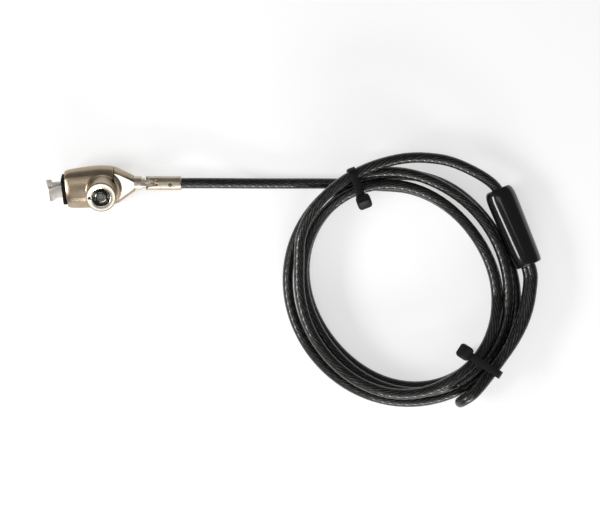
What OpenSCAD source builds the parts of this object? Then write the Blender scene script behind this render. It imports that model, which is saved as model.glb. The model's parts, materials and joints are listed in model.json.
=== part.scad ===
// Laptop cable lock: a head with two spreading jaws and a tubular key cylinder, a hinged
// swivel outlet, and a coiled steel cable that ends in a closed loop.
// +X runs from the jaws to the cable outlet and +Z is up; the head lies on the table.
// The head's own frame: x from the pad face to the outlet, y across, z out of the key face.

/* [Head shell] */
// Height of the head's long axis above the table
axis_h = 6.5; // [6.2:0.1:7]
// Roll of the head about its long axis, as it lies
head_roll = 20; // [15:1:24]
// Angle between the body and its cable outlet
head_yaw = 5; // [0:1:7]
// Width of the body at its widest
body_w = 18.6; // [15.4:0.2:23]
// Height of the body at its highest
body_h = 13.8; // [12.8:0.2:17]
// Width of the body behind the pad
nose_w = 16.2; // [14:0.2:18]
// Height of the body behind the pad
nose_h = 11.4; // [11:0.2:13]
// Width of the body where the rear cover begins
seam_w = 16.6; // [16:0.2:21]
// Height of the body where the rear cover begins
seam_h = 12.8; // [12:0.2:16]
// Width of the rear cover before the outlet
waist_w = 11.8; // [11:0.2:15]
// Height of the rear cover before the outlet
waist_h = 10; // [9.4:0.2:12]
// Wall of the rear cover around the outlet recess
outlet_wall = 0.35; // [0.3:0.05:1]
// Gap in the seam between the two shells
seam_gap = 0.05; // [0.02:0.01:0.1]
// Width of the rubber pad
pad_w = 12.1; // [11:0.1:14]
// Height of the rubber pad
pad_h = 10.6; // [10:0.1:11]
// Rounding of the pad's corners
pad_corner = 2.4; // [2.2:0.1:3]
// Thickness of the rubber pad
pad_t = 1.6; // [1:0.1:2.4]
// Width of the steel nose plate
plate_w = 10.8; // [9.6:0.1:11]
// Height of the steel nose plate
plate_h = 8.6; // [7:0.1:9]
// Thickness of the steel nose plate
plate_t = 1.4; // [1:0.1:2]
// Radius of the two dowels that join the shells
dowel_r = 0.7; // [0.5:0.05:0.8]
// Length of the dowels
dowel_l = 4; // [3:0.2:5]

/* [Jaws] */
// Thickness of one jaw blade
blade_t = 1.3; // [1:0.05:1.5]
// Gap between the two blades
blade_gap = 0.1; // [0.05:0.01:0.2]
// Play above and below the blades
blade_play = 0.15; // [0.1:0.01:0.2]
// Half width of the spread jaws at the pad
neck_y = 3.4; // [3.2:0.05:3.5]
// Reach of the front hook across the slot
front_hook_y = 4.6; // [4.2:0.1:4.7]
// Reach of the back hook across the slot
back_hook_y = 4.7; // [4.2:0.1:4.8]
// How far the front jaw stands out of the pad
front_reach = 6.1; // [5.6:0.1:7]
// How far the back jaw stands out of the pad
back_reach = 7; // [6.4:0.1:8]
// Play between the jaws and the mouth they stand in
mouth_play = 0.2; // [0.15:0.01:0.4]
// Distance from the pad face to the jaw pivot
pivot_x = 5.4; // [5.2:0.1:8]
// Radius of the jaw pivot pin
pivot_r = 1; // [0.8:0.05:1.2]
// Running clearance on the pivot pin
pivot_clear = 0.04; // [0.02:0.01:0.08]
// Radius of the jaw round its pivot
boss_r = 3; // [2.6:0.1:3.2]
// Distance from the jaw pivot to the cam spindle
arm_l = 12.4; // [12.2:0.1:15]
// Radius of a cam disc
cam_r = 1.9; // [1.7:0.05:2.1]
// Throw of a cam disc
cam_e = 1; // [0.9:0.05:1.1]
// Clearance between a cam disc and its window
cam_clear = 0.15; // [0.12:0.01:0.2]
// Wall of the jaw round its window
window_wall = 0.9; // [0.7:0.05:1.2]

/* [Lock cylinder] */
// Height of the key face above the head's axis
face_h = 16.5; // [14.8:0.1:20]
// Thickness of the polished key ring
bezel_t = 1.2; // [1:0.1:1.6]
// Radius of the barrel and of its key ring
barrel_r = 6.6; // [6.3:0.1:7.2]
// Radius of the lock cylinder inside the barrel
cylinder_r = 5.2; // [5.1:0.05:5.6]
// Radius of the key plug and the pin sleeve
plug_r = 4.25; // [4.2:0.05:4.5]
// Outer radius of the ring slot for the key
keyway_r = 4.05; // [4:0.05:4.15]
// Radius of the centre post
post_r = 2.6; // [2.4:0.05:2.65]
// Height of the post below the key face
post_drop = 0.3; // [0.1:0.1:1]
// Depth of the ring slot for the key
keyway_d = 3.5; // [3:0.1:4]
// Width of the notch that guides the key
notch_w = 1.6; // [1.2:0.1:2]
// Reach of the notch from the key axis
notch_r = 5; // [4.6:0.1:5.2]
// Height of the shear line above the head's axis
shear_h = 8; // [7.6:0.1:8.6]
// Number of pins
pin_count = 7; // [5:1:7]
// Radius of the circle the pins stand on
pin_pitch_r = 3.3; // [3.25:0.05:3.35]
// Radius of a pin
pin_r = 0.55; // [0.45:0.05:0.55]
// How far a key pin stands into the ring slot
pin_show = 1.4; // [1.2:0.1:2]
// How far a key presses the pins
pin_travel = 1; // [0.6:0.1:1]
// Length of a driver pin
driver_l = 3; // [2.4:0.1:3.2]
// Running clearance of the plug, sleeve and pins
lock_clear = 0.05; // [0.03:0.01:0.08]
// Radius of the cam spindle
spindle_r = 1.2; // [1.1:0.05:1.4]
// Radius of the dowel that stops the cylinder turning
stop_r = 0.4; // [0.3:0.05:0.4]

/* [Outlet] */
// Row place of the outlet face along X
outlet_x = 9.1; // [6:0.1:12]
// Row place of the outlet axis along Y
outlet_y = 2.6; // [0:0.1:5]
// Radius of the swivel flange inside the head
flange_r = 3.4; // [3.2:0.1:3.6]
// Thickness of the swivel flange
flange_t = 1.2; // [1:0.1:1.6]
// Radius of the swivel shank and its neck
shank_r = 2.3; // [2.1:0.05:2.4]
// Running clearance of the swivel
swivel_clear = 0.06; // [0.04:0.01:0.1]
// Thickness of the swivel washer
washer_t = 0.4; // [0.3:0.05:0.6]
// Thickness of the cover between pocket and recess
cover_t = 2.9; // [2.4:0.1:4]
// Depth of the recess that the collar sits in
recess_d = 1.2; // [1:0.1:1.6]
// Radius of the swivel collar
collar_r = 3.03; // [2.9:0.01:3.1]
// Length of the collar outside the head
collar_l = 3.1; // [2.6:0.1:4]
// Distance from the collar to the hinge pin
hinge_l = 4.75; // [4.6:0.05:6]
// Radius of the hinge pin
hinge_r = 1; // [0.8:0.05:1.1]
// Thickness of one hinge leaf
leaf_t = 1.1; // [0.9:0.05:1.1]
// Gap between the two hinge leaves
leaf_gap = 0.4; // [0.3:0.05:0.5]
// Play beside the leaves in the fork
fork_play = 0.2; // [0.15:0.01:0.3]
// Radius of the cable ferrule
ferrule_r = 3.13; // [3.05:0.01:3.4]
// Radius of the fork's rounded end
fork_r = 2.85; // [2.7:0.05:3]
// Length of the ferrule behind the hinge pin
ferrule_l = 12.95; // [12:0.05:16]
// Depth of the cable socket
socket_d = 8.3; // [7:0.1:9]
// Rounding of the ferrule's cable end
ferrule_edge = 0.6; // [0.4:0.05:0.7]
// Radius of the crimp pin
crimp_r = 0.875; // [0.7:0.025:1]
// Distance of the crimp pin from the ferrule's end
crimp_back = 4.9; // [4:0.1:6]

/* [Cable] */
// Diameter of the cable over its jacket
cable_d = 4.7; // [4.6:0.05:4.8]
// Clearance of the cable in its sockets
cable_clear = 0.05; // [0.03:0.01:0.1]
// Radius of the coil's inner turn, at the cable's centre line
coil_r = 42.8; // [42:0.1:52]
// Step between the turns of the upper layer
coil_step = 5.15; // [5.1:0.05:5.2]
// Height of one layer of turns
layer_h = 5.2; // [5.15:0.05:5.3]
// How far the inner turn bulges out of round
coil_oval = 3.5; // [3.4:0.05:3.6]
// Rise of the turns over the cable lead
hump_h = 5.2; // [5.15:0.05:5.4]
// Length of the loop sleeve
sleeve_l = 36.4; // [30:0.2:42]
// Width of the loop sleeve
sleeve_w = 13.1; // [12.8:0.1:13.5]
// Height of the loop sleeve
sleeve_h = 12; // [11.8:0.1:12.4]
// Length of the crimped ferrule inside the sleeve
crimp_l = 18; // [14:0.5:22]
// Wall of the crimped ferrule
crimp_wall = 0.6; // [0.4:0.05:0.8]
// Width of a tie's band
tie_w = 3.4; // [3:0.1:4]
// Thickness of a tie's band
tie_t = 0.8; // [0.6:0.05:0.9]
// Length of a tie's head along the cable
tie_head_l = 6.3; // [5:0.1:7]
// Width and height of a tie's head
tie_head_w = 4.6; // [4:0.1:5]

/* [Hidden] */
$fn = 64;
soft_fn = 32;
skin = 0.1;
over = 1;

// Places along the head's x axis
lock_x = pivot_x + arm_l;
seam_x = lock_x + barrel_r - 1;
pocket_l = recess_d + cover_t;
flange_play = 0.05;
flange_x = pocket_l + washer_t + flange_play + flange_t;
barrel_gap = 1.55;
head_l = lock_x + barrel_r + barrel_gap + flange_x;
waist_x = head_l - pocket_l;
outlet_r = collar_r + swivel_clear * 2 + outlet_wall;
// Outlines of the shells as [place along x, width, height]
front_sections = [
    [pad_t, nose_w, nose_h],
    [pad_t + 1.6, nose_w + 1.2, nose_h + 1],
    [lock_x - 6.4, body_w, body_h],
    [lock_x - 0.4, body_w, body_h],
    [seam_x - skin, seam_w, seam_h]];
rear_sections = [
    [seam_x + seam_gap, seam_w, seam_h],
    [waist_x, waist_w, waist_h],
    [head_l - skin, outlet_r * 2, outlet_r * 2]];

// Jaws: each blade swings by half_swing to either side of its middle place
half_swing = asin(cam_e * sin(45) / arm_l);
window_r = cam_r + cam_clear;
tail_y = window_r + window_wall;
tail_l = arm_l + cam_e + window_r + window_wall;
room_z = blade_gap / 2 + blade_t + blade_play;
room_y = tail_y + tail_l * sin(half_swing) + blade_play;
room_end = pivot_x + tail_l + 0.4;
mouth_y = neck_y + mouth_play;

// Heights in the lock
floor_h = face_h - keyway_d;
post_seat = 1.5;
post_shank_r = post_r - 0.8;
bezel_base = face_h - bezel_t;
sleeve_base = room_z + 0.1;
sleeve_top = shear_h - lock_clear;
plug_base = shear_h + lock_clear;
pin_base = plug_base + pin_travel;
clip_t = 0.4;
clip_base = sleeve_base + 0.1;
spring_base = clip_base + clip_t + 0.3;
driver_base = sleeve_top - driver_l;
journal_r = 1.1;
journal_end = -3.7;
stop_y = (cylinder_r + plug_r + lock_clear) / 2;
barrel_floor = -3;

// Places along the outlet axis, from the outlet face
hinge_s = collar_l + hinge_l;
neck_end = hinge_s - fork_r - 0.55;
leaf_y = leaf_gap / 2 + leaf_t;
fork_y = leaf_y + fork_play;
ferrule_s = hinge_s + ferrule_l;
hinge_x = outlet_x + hinge_s;
socket_r = cable_d / 2 + cable_clear;

// Cable: the coil, and the routes of the free stretches about its centre
// The routes are given for an inner turn of 42.8, and move out with it
wider = coil_r - 42.8;
coil_c = [127.3, -42.8 - wider];
coil_z = 3.3;
coil_turns = 3.25;
coil_grow = 1;
outer_r = coil_r + 8.1;
outer_oval = 0.4 * coil_oval;
top_r = coil_r + 5.5;
oval_az = 128;
turn_rings = 24;
coil_sides = 6;
tube_sides = 8;
hump_az = 112;
hump_span = 60;

function ease(x) = let (c = min(max(x, 0), 1)) c * c * (3 - 2 * c);
function hump(az) = let (off = abs(az - hump_az) / hump_span)
    off < 1 ? hump_h * (1 + cos(180 * off)) / 2 : 0;
function full_az(az) = az - 360 * floor(az / 360);
// Turn 1 lies inside and turn 2 outside it on the table; the rest lies on top, from out to in
function coil_point(t) = let (
    az = 90 - 360 * t,
    outside = ease((t - 0.86) / 0.24) - ease((t - 1.9) / 0.18),
    line = t < 1.5 ? coil_r + coil_grow * t : top_r - coil_step * (t - 2),
    rounder = ease((t - 1.2) / 0.3) - ease((t - 1.9) / 0.9),
    oval = coil_oval + rounder * (outer_oval - coil_oval),
    r = line + outside * (outer_r - line) + oval * cos(2 * (az - oval_az)),
    climb = layer_h * ease((t - 1.83) / 0.16),
    rise = t > 0.5 ? hump(full_az(az)) : 0)
    [coil_c.x + r * cos(az), coil_c.y + r * sin(az), coil_z + climb + rise];
half_ring = 0.5 / turn_rings;
coil_turn_points = [for (i = [0 : coil_turns * turn_rings]) coil_point(i / turn_rings)];
coil_in = coil_point(-half_ring);
coil_out = coil_point(coil_turns + half_ring);
coil_points = concat([coil_in], coil_turn_points, [coil_out]);

// A place at [x, y] about the coil's centre, moved out with the coil
function off_coil(p) = coil_c + p * (1 + wider / norm(p));
// Points as [azimuth, radius, height] about the coil's centre
function about_coil(route) = [for (p = route)
    [coil_c.x + (p[1] + wider) * cos(p[0]), coil_c.y + (p[1] + wider) * sin(p[0]), p[2]]];
// Points as [along, across, height] about the loop sleeve's middle
sleeve_c = off_coil([48.2, 25.8]);
sleeve_az = -67.4;
sleeve_z = 8.9;
sleeve_end = sleeve_l / 2;
function about_sleeve(route) = [for (p = route) [
    sleeve_c.x + p[0] * cos(sleeve_az) - p[1] * sin(sleeve_az),
    sleeve_c.y + p[0] * sin(sleeve_az) + p[1] * cos(sleeve_az), p[2]]];
// The two strands in the sleeve lie one over the other, and lean outward
strand_y = 2.45;
strand_lean = 16;
lean_y = strand_y * sin(strand_lean);
upper_z = sleeve_z + strand_y * cos(strand_lean);
lower_z = sleeve_z - strand_y * cos(strand_lean);

lead_start = outlet_x + ferrule_s - socket_d + 0.2;
lead_points = concat(
    [[lead_start, outlet_y, axis_h], [outlet_x + ferrule_s, outlet_y, axis_h]],
    [[35, outlet_y, 6.5], [44, outlet_y, 6], [54, outlet_y, 4.4], [64, outlet_y, 3],
        [74, outlet_y, 2.4], [86, 2.6, 2.4], [98, 2.5, 2.8], [107, 2, 3.3], [115, 1.6, 3.3]],
    [coil_in]);
tail_points = concat(
    [coil_out],
    about_coil([[-20, 43, 11.3], [-34, 44.4, 13], [-48, 45.4, 13.9], [-64, 46.2, 14.2],
        [-80, 47.2, 14.2], [-96, 47.2, 14], [-112, 46.4, 13.8], [-128, 45.5, 13.7],
        [-144, 45, 13.7], [-160, 45, 13.7], [-176, 45.4, 13.8], [-192, 46.6, 14.6],
        [-206, 49.8, 16.2], [-218, 51.4, 17.6], [-230, 52.2, 18.4], [-242, 53, 18.5],
        [-254, 53.9, 18.3], [-262, 54.7, 17.7], [-270, 55.8, 16.8], [-278, 56.8, 15.6],
        [-290, 58.3, 13.9], [-302, 59.1, 12.4]]),
    about_sleeve([[-sleeve_end - 4.2, -1.5, 11.6], [-sleeve_end, 0.3, 11.3],
        [-13.5, lean_y, upper_z], [-8, lean_y, upper_z], [0, lean_y, upper_z]]));
tip_r = 6.4;
tip_az = -58;
tip_c = off_coil([30.2, -47.6]);
tip_z = 6.3;
// The loop's tip: half a turn from top to bottom in a steep plane
tip_points = [for (i = [6 : -1 : 0]) let (a = i * 30, out = 0.4 - i * 0.13) [
    tip_c.x + sin(tip_az) * tip_r * sin(a) + cos(tip_az) * out,
    tip_c.y - cos(tip_az) * tip_r * sin(a) + sin(tip_az) * out,
    tip_z + tip_r * (1 - cos(a))]];
loop_points = concat(
    about_sleeve([[0, lean_y, upper_z], [sleeve_end, lean_y, upper_z],
        [sleeve_end + 3.4, 0.4, 11.5]]),
    about_coil([[0, 56.5, 12.2], [-10, 55.7, 12.9], [-20, 54.7, 13.3], [-30, 53.8, 13.5],
        [-38, 53.5, 13.8], [-46, 54.1, 15.5]]),
    tip_points,
    about_coil([[-50, 55.1, 7.8], [-42, 54.4, 8.3], [-30, 54.1, 8.3], [-20, 54.1, 8.2],
        [-10, 54.5, 7.8], [0, 55.4, 7.1]]),
    about_sleeve([[sleeve_end + 3.6, -1.1, 6.6], [sleeve_end, -lean_y, lower_z],
        [8, -lean_y, lower_z], [-4, -lean_y, lower_z]]));
// The sleeve narrows toward the loop, and stands off the strands' middle
sleeve_taper = 0.45;
sleeve_side = -0.6;
sleeve_sides = 32;
// Outlines of the sleeve as [place along it, inset at the sides, inset above and below]
sleeve_sections = [[-sleeve_end, 2.2, 0.9], [-sleeve_end + 0.6, 1.3, 0.6],
    [-sleeve_end + 1.8, 0.5, 0.2], [-sleeve_end + 4, 0, 0], [sleeve_end - 4, 0, 0],
    [sleeve_end - 1, 0.2, 0.1], [sleeve_end - 0.3, 0.5, 0.3], [sleeve_end, 0.9, 0.6]];

// Each tie: place about the coil's centre, direction, inner reach both ways and height
upper_tie_c = off_coil([-20.6, 44.9]);
upper_tie_az = 111;
upper_tie_in = [-7.1, 6.4];
upper_tie_h = 20.3;
lower_tie_c = off_coil([36, -34.8]);
lower_tie_az = -33;
lower_tie_in = [-9.7, 7.1];
lower_tie_h = 17.2;

function unit(v) = v / norm(v);
function heading(p, i) = unit(p[min(i + 1, len(p) - 1)] - p[max(i - 1, 0)]);
function square_to(v, t) = unit(v - (v * t) * t);
function sides_of(p) = [for (i = 0, v = square_to([0, 0, 1], heading(p, 0)); i < len(p);
    i = i + 1, v = square_to(v, heading(p, min(i, len(p) - 1)))) v];
coil_gap = min([for (i = [0 : len(coil_points) - 13], j = [i + 12 : len(coil_points) - 1])
    norm(coil_points[i] - coil_points[j])]) - cable_d;
echo(least_gap_between_coil_turns = coil_gap);

// One closed tube through rings of the given number of points
module tube(rings, sides) {
    count = len(rings) / sides;
    last = (count - 1) * sides;
    walls = [for (i = [0 : count - 2], k = [0 : sides - 1], half = [0, 1])
        let (a = i * sides + k, b = i * sides + (k + 1) % sides)
        half == 0 ? [a, a + sides, b + sides] : [a, b + sides, b]];
    first_cap = [for (k = [1 : sides - 2]) [0, k, k + 1]];
    last_cap = [for (k = [1 : sides - 2]) [last, last + k + 1, last + k]];
    polyhedron(rings, concat(walls, first_cap, last_cap), convexity = 10);
}

// A cable stretch through its points
module cable(points, sides) {
    across = sides_of(points);
    tube([for (i = [0 : len(points) - 1], k = [0 : sides - 1])
        let (t = heading(points, i), v = across[i], a = 360 * (k + 0.5) / sides)
        points[i] + (v * cos(a) + cross(t, v) * sin(a)) * cable_d / 2], sides);
}

module on_head() {
    translate([outlet_x, outlet_y, axis_h])
        rotate([0, 0, head_yaw])
            rotate([head_roll, 0, 0])
                translate([-head_l, 0, 0])
                    children();
}

// The key axis, with z out of the key face
module on_lock() {
    on_head()
        translate([lock_x, 0, 0])
            children();
}

// The outlet axis, with z along +X and zero at the outlet face
module on_outlet() {
    translate([outlet_x, outlet_y, axis_h])
        rotate([0, 90, 0])
            children();
}

// The sleeve's own frame, with x along it and y from the lower to the upper strand
module on_sleeve() {
    translate([sleeve_c.x, sleeve_c.y, sleeve_z])
        rotate([0, 0, sleeve_az])
            rotate([90 - strand_lean, 0, 0])
                children();
}

// A rod of length l that starts at base and runs along z
module rod(r, base, top) {
    translate([0, 0, base])
        cylinder(r = r, h = top - base);
}

module rounded_plate(w, h, r) {
    square([w - 2 * r, h], center = true);
    square([w, h - 2 * r], center = true);
    for (x = [-1, 1], y = [-1, 1])
        translate([x * (w / 2 - r), y * (h / 2 - r)])
            circle(r);
}

// A flat piece across the head's x axis: w runs along y and h along z
module across_head(x, t, w, h, r) {
    translate([x, 0, 0])
        rotate([90, 0, 90])
            linear_extrude(t)
                rounded_plate(w, h, r);
}

module pin_ring(r, base, top) {
    for (i = [0 : pin_count - 1])
        rotate(180 + (i + 0.5) * 360 / pin_count)
            translate([pin_pitch_r, 0, 0])
                rod(r, base, top);
}

// The half plane above one flat of the keel that the head rests on
module above_keel(side) {
    rotate(side * head_roll)
        translate([-2 * body_w, -axis_h])
            square([4 * body_w, 4 * body_h]);
}

module shell(sections) {
    hull()
        for (s = sections)
            translate([s[0], 0, 0])
                rotate([90, 0, 90])
                    linear_extrude(skin)
                        intersection() {
                            scale([s[1] / 2, s[2] / 2])
                                circle(1, $fn = soft_fn);
                            above_keel(-1);
                            above_keel(1);
                        }
}

module mouth(x, t) {
    across_head(x, t, 2 * mouth_y, 2 * room_z, 0.6);
}

module rubber_pad() {
    color("#151515")
        on_head()
            difference() {
                across_head(0, pad_t, pad_w, pad_h, pad_corner);
                mouth(-over, pad_t + 2 * over);
            }
}

module nose_plate() {
    color("#8f8b86")
        on_head()
            difference() {
                across_head(pad_t, plate_t, plate_w, plate_h, 1.2);
                mouth(pad_t - over, plate_t + 2 * over);
            }
}

module dowel_rods(r) {
    for (side = [-1, 1])
        translate([seam_x - dowel_l / 2, side * (room_y + 0.7 + dowel_r), -1.5])
            rotate([0, 90, 0])
                cylinder(r = r, h = dowel_l);
}

module head_housing() {
    color("#9a8b76")
        difference() {
            on_head() shell(front_sections);
            on_lock() rod(barrel_r - 0.5, barrel_floor, face_h);
            on_head() housing_hollows();
        }
    color("#9a8b76")
        difference() {
            on_lock() rod(barrel_r, barrel_floor, bezel_base);
            on_head() housing_hollows();
        }
}

// Everything that is cut out of the front shell
module housing_hollows() {
    across_head(pad_t - over, plate_t + over, plate_w, plate_h, 1.2);
    translate([pad_t + plate_t, -room_y, -room_z])
        cube([room_end - pad_t - plate_t, 2 * room_y, 2 * room_z]);
    translate([pivot_x, 0, 0])
        rod(pivot_r, -body_h, 4.6);
    translate([lock_x, 0, 0]) {
        rod(cylinder_r + lock_clear, room_z, face_h);
        rod(journal_r + 0.04, journal_end - 0.3, 0);
        translate([0, -stop_y, 0])
            rod(stop_r, -body_h, sleeve_base);
    }
    dowel_rods(dowel_r);
}

module rear_cover() {
    color("#a39684")
        difference() {
            on_head() shell(rear_sections);
            on_lock() rod(barrel_r + seam_gap, barrel_floor - seam_gap, face_h);
            on_head() dowel_rods(dowel_r);
            on_outlet() {
                rod(flange_r + 0.2, seam_x - head_l - over, -pocket_l);
                rod(shank_r + swivel_clear, -pocket_l - over, 0);
                rod(collar_r + 2 * swivel_clear, -recess_d, over);
            }
        }
}

module cover_dowels() {
    color("#b0b0b0")
        on_head()
            dowel_rods(dowel_r);
}

// The cam window, the pivot bore and the tail lie in the middle of the jaw's swing
module jaw_solid() {
    circle(boss_r);
    translate([0, -tail_y])
        square([tail_l, 2 * tail_y]);
}

module jaw_openings(window_from, window_to) {
    circle(pivot_r + pivot_clear);
    for (x = [window_from, window_to])
        translate([x, 0])
            circle(window_r);
    translate([window_from, -window_r])
        square([window_to - window_from, 2 * window_r]);
}

module jaw(base, swing, outline, window_from, window_to) {
    color("#b9b0ab")
        on_head()
            translate([0, 0, base])
                difference() {
                    union() {
                        linear_extrude(blade_t) polygon(outline);
                        translate([pivot_x, 0, 0])
                            rotate(swing)
                                linear_extrude(blade_t) jaw_solid();
                    }
                    translate([pivot_x, 0, -over])
                        rotate(swing)
                            linear_extrude(blade_t + 2 * over)
                                jaw_openings(window_from, window_to);
                }
}

module jaw_front() {
    jaw(blade_gap / 2, half_swing,
        [[pivot_x, -boss_r], [pivot_x - 3, -neck_y], [-2.6, -neck_y],
            [2 - front_reach, -front_hook_y], [-front_reach, -front_hook_y],
            [-front_reach - 0.2, 1.15], [0, 2.75], [pivot_x - 1, boss_r - 0.2]],
        arm_l + cam_e * cos(45), arm_l + cam_e);
}

module jaw_back() {
    jaw(-blade_gap / 2 - blade_t, -half_swing,
        [[pivot_x - 1, -boss_r + 0.2], [0, -2.75], [0.7 - back_reach, -1.2],
            [-back_reach, back_hook_y], [2.2 - back_reach, back_hook_y],
            [2.6 - back_reach, neck_y + 0.1], [3.2 - back_reach, neck_y],
            [pivot_x - 3, neck_y], [pivot_x, boss_r]],
        arm_l - cam_e, arm_l - cam_e * cos(45));
}

module jaw_pivot_pin() {
    color("#a8a8a8")
        on_head()
            translate([pivot_x, 0, 0])
                rod(pivot_r, 0.4 - (nose_h + 1) / 2, 4.5);
}

module lock_cylinder() {
    color("#e6e0d4")
        on_lock()
            difference() {
                union() {
                    rod(cylinder_r, sleeve_base, face_h);
                    rod(barrel_r, bezel_base, face_h);
                }
                rod(plug_r + lock_clear, sleeve_base - over, floor_h + 2 * lock_clear);
                rod(keyway_r, sleeve_base, face_h + over);
                translate([-notch_r, -notch_w / 2, floor_h + 2 * lock_clear])
                    cube([notch_r - post_r, notch_w, keyway_d + over]);
                translate([0, -stop_y, 0])
                    rod(stop_r, 0, sleeve_base + 1.8);
            }
}

module cylinder_pin() {
    color("#a8a8a8")
        on_lock()
            translate([0, -stop_y, 0])
                rod(stop_r, 1.9 - axis_h, sleeve_base + 1.7);
}

module key_plug() {
    color("#5a5a52")
        on_lock()
            difference() {
                rod(plug_r, plug_base, floor_h);
                pin_ring(pin_r + lock_clear / 2, plug_base - over, face_h);
                rod(spindle_r, plug_base - over, plug_base + 2.5);
                rod(post_shank_r, floor_h - post_seat, face_h);
            }
}

module key_post() {
    color("#4a4a44")
        on_lock() {
            rod(post_shank_r, floor_h - post_seat, face_h - post_drop);
            rod(post_r, floor_h, face_h - post_drop);
        }
}

module key_pins() {
    color("#c9b26a")
        on_lock()
            pin_ring(pin_r, pin_base, floor_h + pin_show);
}

module pin_sleeve() {
    color("#b89a54")
        on_lock()
            difference() {
                rod(plug_r, sleeve_base, sleeve_top);
                rod(spindle_r + lock_clear, sleeve_base - over, shear_h);
                rod(2.15, sleeve_base - over, clip_base + clip_t + 0.1);
                pin_ring(pin_r + lock_clear / 2, spring_base, shear_h);
            }
}

module driver_pins() {
    color("#d8d8d8")
        on_lock()
            pin_ring(pin_r, driver_base, sleeve_top);
}

// Each spring is a plain tube of the coil's outer and inner size
module driver_springs() {
    color("#9c9c9c")
        on_lock()
            difference() {
                pin_ring(pin_r - 0.05, spring_base, driver_base);
                pin_ring(pin_r - 0.25, spring_base - over, driver_base + over);
            }
}

module cam_spindle() {
    color("#b0aca6")
        on_lock() {
            difference() {
                rod(spindle_r, blade_gap / 2 + blade_t, plug_base + 2.5);
                difference() {
                    rod(spindle_r + over, clip_base, clip_base + clip_t);
                    rod(spindle_r - 0.3, clip_base - over, clip_base + clip_t + over);
                }
            }
            rotate(45)
                translate([cam_e, 0, 0])
                    rod(cam_r, blade_gap / 2, blade_gap / 2 + blade_t);
            rotate(225)
                translate([cam_e, 0, 0])
                    rod(cam_r, -blade_gap / 2 - blade_t, -blade_gap / 2);
            rod(cam_r - cam_e, -blade_gap, blade_gap);
            rod(journal_r, journal_end, -blade_gap / 2 - blade_t);
        }
}

module spindle_clip() {
    color("#8a8a8a")
        on_lock()
            difference() {
                rod(2, clip_base, clip_base + clip_t);
                rod(spindle_r - 0.3, clip_base - over, clip_base + clip_t + over);
                translate([0, -0.8, clip_base - over])
                    cube([3, 1.6, clip_t + 2 * over]);
            }
}

module swivel_stud() {
    color("#b3a79b")
        difference() {
            union() {
                on_outlet() {
                    rod(flange_r, -flange_x, -flange_x + flange_t);
                    rod(shank_r, -flange_x, neck_end);
                    rod(collar_r, -recess_d + 0.1, collar_l);
                }
                for (y = [-leaf_y, leaf_gap / 2])
                    translate([hinge_x, outlet_y + y, axis_h])
                        rotate([-90, 0, 0])
                            linear_extrude(leaf_t) {
                                circle(shank_r);
                                translate([-hinge_l, -shank_r])
                                    square([hinge_l, 2 * shank_r]);
                            }
            }
            hinge_bore(hinge_r + lock_clear);
        }
}

module hinge_bore(r) {
    translate([hinge_x, outlet_y, axis_h])
        rotate([90, 0, 0])
            cylinder(r = r, h = 4 * ferrule_r, center = true);
}

module swivel_washer() {
    color("#e8e2d0")
        on_outlet()
            difference() {
                rod(flange_r, -pocket_l - washer_t, -pocket_l);
                rod(shank_r + swivel_clear, -pocket_l - washer_t - over, over);
            }
}

module hinge_pin() {
    color("#8f8a84")
        translate([hinge_x, outlet_y, axis_h])
            rotate([90, 0, 0])
                cylinder(r = hinge_r, h = 2 * ferrule_r - 0.4, center = true);
}

// The crimp pin's axis, tilted toward the front
module on_crimp() {
    translate([outlet_x + ferrule_s - crimp_back, outlet_y, axis_h])
        rotate([19, 0, 0])
            children();
}

module cable_ferrule() {
    color("#a89c90")
        difference() {
            on_outlet()
                intersection() {
                    translate([0, 0, hinge_s - fork_r])
                        rotate_extrude()
                            ferrule_profile(ferrule_s - hinge_s + fork_r);
                    translate([0, 0, hinge_s])
                        rotate([90, 0, 0])
                            cylinder(r = fork_r, h = 4 * ferrule_r, center = true);
                }
            hinge_bore(hinge_r);
            fork_slot();
        }
    color("#a89c90")
        difference() {
            on_outlet()
                translate([0, 0, hinge_s])
                    rotate_extrude()
                        ferrule_profile(ferrule_s - hinge_s);
            hinge_bore(hinge_r);
            fork_slot();
            on_outlet() rod(socket_r, ferrule_s - socket_d, ferrule_s + over);
            on_crimp() rod(crimp_r, 0, 2 * ferrule_r);
        }
}

// Half outline of the round bar, with its far edge rounded
module ferrule_profile(l) {
    square([ferrule_r, l - ferrule_edge]);
    square([ferrule_r - ferrule_edge, l]);
    translate([ferrule_r - ferrule_edge, l - ferrule_edge])
        circle(ferrule_edge);
}

module fork_slot() {
    translate([hinge_x - 2 * fork_r, outlet_y - fork_y, axis_h - 2 * ferrule_r])
        cube([2 * fork_r + shank_r + 0.17, 2 * fork_y, 4 * ferrule_r]);
}

module crimp_pin() {
    color("#6b665f")
        on_crimp()
            rod(crimp_r, 1.5, ferrule_r - 0.15);
}

module cable_lead() {
    color("#101010")
        cable(lead_points, tube_sides);
}

module cable_coil() {
    color("#101010")
        cable(coil_points, coil_sides);
}

module cable_tail() {
    color("#101010")
        cable(tail_points, tube_sides);
}

module cable_loop() {
    color("#101010")
        cable(loop_points, tube_sides);
}

// A bar round the two strands in the sleeve, with the given wall
module two_strand_bar(wall, l) {
    r = socket_r + wall;
    translate([-l / 2, 0, 0])
        rotate([90, 0, 90])
            linear_extrude(l) {
                square([2 * strand_y, 2 * r], center = true);
                for (side = [-1, 1])
                    translate([side * strand_y, 0])
                        circle(r);
            }
}

module strand_bore(side, from, to) {
    translate([from, side * strand_y, 0])
        rotate([0, 90, 0])
            cylinder(r = socket_r, h = to - from);
}

module loop_ferrule() {
    color("#9a9a9a")
        on_sleeve()
            difference() {
                two_strand_bar(crimp_wall, crimp_l);
                for (side = [-1, 1])
                    strand_bore(side, -crimp_l, crimp_l);
            }
}

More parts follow.
